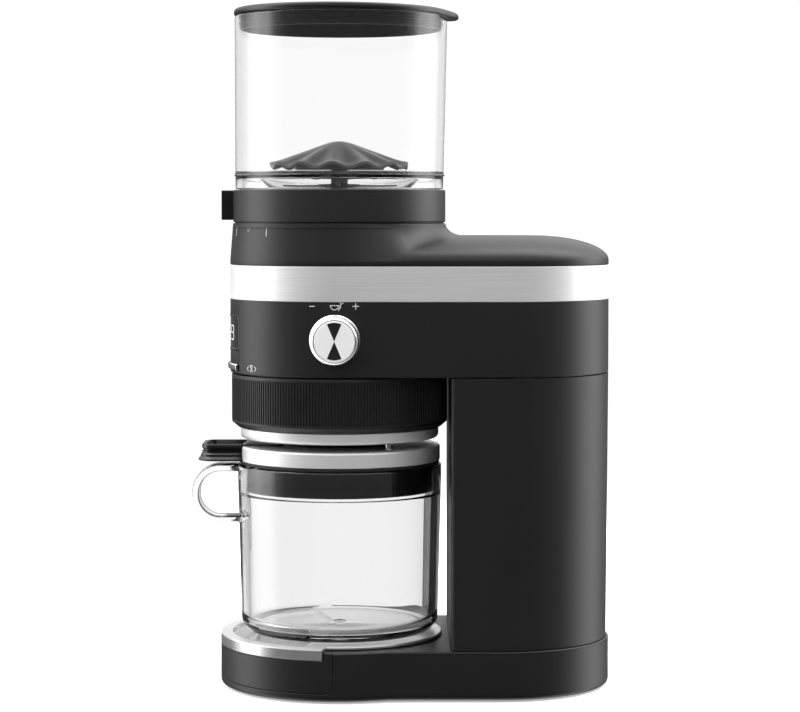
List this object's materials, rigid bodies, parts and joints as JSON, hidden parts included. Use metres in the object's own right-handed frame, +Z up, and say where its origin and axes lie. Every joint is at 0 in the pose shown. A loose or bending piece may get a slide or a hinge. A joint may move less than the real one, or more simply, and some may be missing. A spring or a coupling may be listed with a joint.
{
  "type": "burr coffee grinder",
  "caption": "Electric conical burr grinder: clear hopper on a turning grind collar, geared motor column, dosing ring, dose knob, clear grounds jar on a slide-out tray.",
  "frame": {"origin": "on the surface the grinder stands on, on the vertical axis shared by hopper, burrs, dosing ring and jar", "axes": "+Z up along that axis, -Y the front with display and jar handle, +Y the motor column, +X the side with the dose knob"},
  "size_m": [0.1413, 0.2317, 0.3739],
  "materials": {
    "matte_black": "matt moulded, fine texture",
    "gloss_black": "glossy",
    "brushed_steel": "brushed",
    "bright_steel": "polished",
    "clear": "clear, smooth",
    "black_rubber": "matt",
    "guard_grey": "satin",
    "display_glass": "smooth",
    "circuit_board": "solder mask",
    "nylon": "moulded",
    "tool_steel": "machined",
    "zinc_steel": "plated",
    "magnet": "sintered"
  },
  "bodies": {
    "housing": {"base_shell": "matte_black", "base_plate": "matte_black", "rubber_feet": "black_rubber", "base_screws": "zinc_steel", "cord_inlet": "black_rubber", "column_shell": "matte_black", "control_housing": "matte_black", "steel_band": "brushed_steel", "top_housing": "matte_black", "display_bezel": "gloss_black", "display_window": "display_glass", "display_board": "circuit_board", "start_switch": "nylon", "control_board": "circuit_board", "power_board": "circuit_board", "ring_encoder": "nylon", "knob_encoder": "zinc_steel", "ring_drum": "matte_black", "chute_neck": "matte_black", "chute_trim_ring": "brushed_steel", "chute_tube": "matte_black", "gearbox_case": "nylon", "gearbox_cover": "nylon", "gear_pins": "zinc_steel", "shaft_bearings": "bright_steel", "motor_can": "zinc_steel", "motor_end_cap": "nylon", "motor_magnets": "magnet", "grind_chamber": "matte_black", "jar_guide_studs": "bright_steel"},
    "rotor": {"rotor_shaft": "tool_steel", "armature": "tool_steel", "cooling_fan": "nylon", "motor_pinion": "tool_steel"},
    "compound": {"compound_gear": "nylon"},
    "idler": {"idler_gear": "nylon"},
    "burr": {"burr_shaft": "tool_steel", "output_gear": "nylon", "inner_burr": "tool_steel", "burr_nut": "zinc_steel", "sweeper": "nylon"},
    "collar": {"grind_collar": "matte_black", "collar_pointer": "matte_black"},
    "carrier": {"burr_carrier": "nylon", "outer_burr": "tool_steel"},
    "bean_hopper": {"hopper": "clear", "bean_guard": "guard_grey"},
    "hopper_cap": {"hopper_lid": "matte_black", "lid_seal": "black_rubber"},
    "knob": {"dose_knob": "bright_steel", "knob_face": "brushed_steel"},
    "ring": {"dose_ring": "matte_black"},
    "bar": {"start_bar": "bright_steel"},
    "grounds_jar": {"jar": "clear"},
    "jar_cover": {"jar_lid_core": "matte_black", "jar_lid_band": "brushed_steel", "jar_lid_seal": "black_rubber", "lid_grip": "matte_black"},
    "tray": {"tray_plate": "brushed_steel", "tray_front": "matte_black"}
  },
  "joints": [
    {"name": "burr_spin", "type": "hinge", "parent": "housing", "child": "burr", "pos_m": [0, 0, 0.22], "axis": [0, 0, 1], "continuous": true},
    {"name": "idler_spin", "type": "hinge", "parent": "housing", "child": "idler", "pos_m": [0, 0.04375, 0.206], "axis": [0, 0, 1], "continuous": true},
    {"name": "compound_spin", "type": "hinge", "parent": "housing", "child": "compound", "pos_m": [0, 0.0725, 0.2], "axis": [0, 0, 1], "continuous": true},
    {"name": "motor_spin", "type": "hinge", "parent": "housing", "child": "rotor", "pos_m": [0, 0.1035, 0.14], "axis": [0, 0, 1], "continuous": true},
    {"name": "grind_collar_turn", "type": "hinge", "parent": "housing", "child": "collar", "pos_m": [0, 0, 0.265], "axis": [0, 0, 1], "range_deg": [-47, 47]},
    {"name": "burr_gap", "type": "slide", "parent": "collar", "child": "carrier", "axis": [0, 0, 1], "range_m": [-0.0003, 0.0003]},
    {"name": "hopper_lift", "type": "slide", "parent": "collar", "child": "bean_hopper", "axis": [0, 0, 1], "range_m": [0, 0.12]},
    {"name": "hopper_lid_lift", "type": "slide", "parent": "bean_hopper", "child": "hopper_cap", "axis": [0, 0, 1], "range_m": [0, 0.05]},
    {"name": "dose_knob_turn", "type": "hinge", "parent": "housing", "child": "knob", "pos_m": [0.0605, -0.001, 0.194], "axis": [1, 0, 0], "continuous": true},
    {"name": "dose_ring_turn", "type": "hinge", "parent": "housing", "child": "ring", "pos_m": [0, 0, 0.158], "axis": [0, 0, 1], "continuous": true},
    {"name": "start_bar_press", "type": "slide", "parent": "housing", "child": "bar", "axis": [0, 1, 0], "range_m": [0, 0.0012], "stiffness_N_per_m": 1500},
    {"name": "jar_slide", "type": "slide", "parent": "housing", "child": "grounds_jar", "axis": [0, -1, 0], "range_m": [0, 0.15]},
    {"name": "jar_lid_twist", "type": "hinge", "parent": "grounds_jar", "child": "jar_cover", "pos_m": [0, 0, 0.128], "axis": [0, 0, 1], "range_deg": [-35, 35]},
    {"name": "tray_slide", "type": "slide", "parent": "housing", "child": "tray", "axis": [0, -1, 0], "range_m": [0, 0.09]}
  ],
  "couplings": [
    {"joint": "idler_spin", "follows": "burr_spin", "ratio": -1.1875},
    {"joint": "compound_spin", "follows": "burr_spin", "ratio": 2.7143},
    {"joint": "motor_spin", "follows": "burr_spin", "ratio": -11.31},
    {"joint": "burr_gap", "follows": "grind_collar_turn", "m_per_rad": 0.0003183}
  ]
}
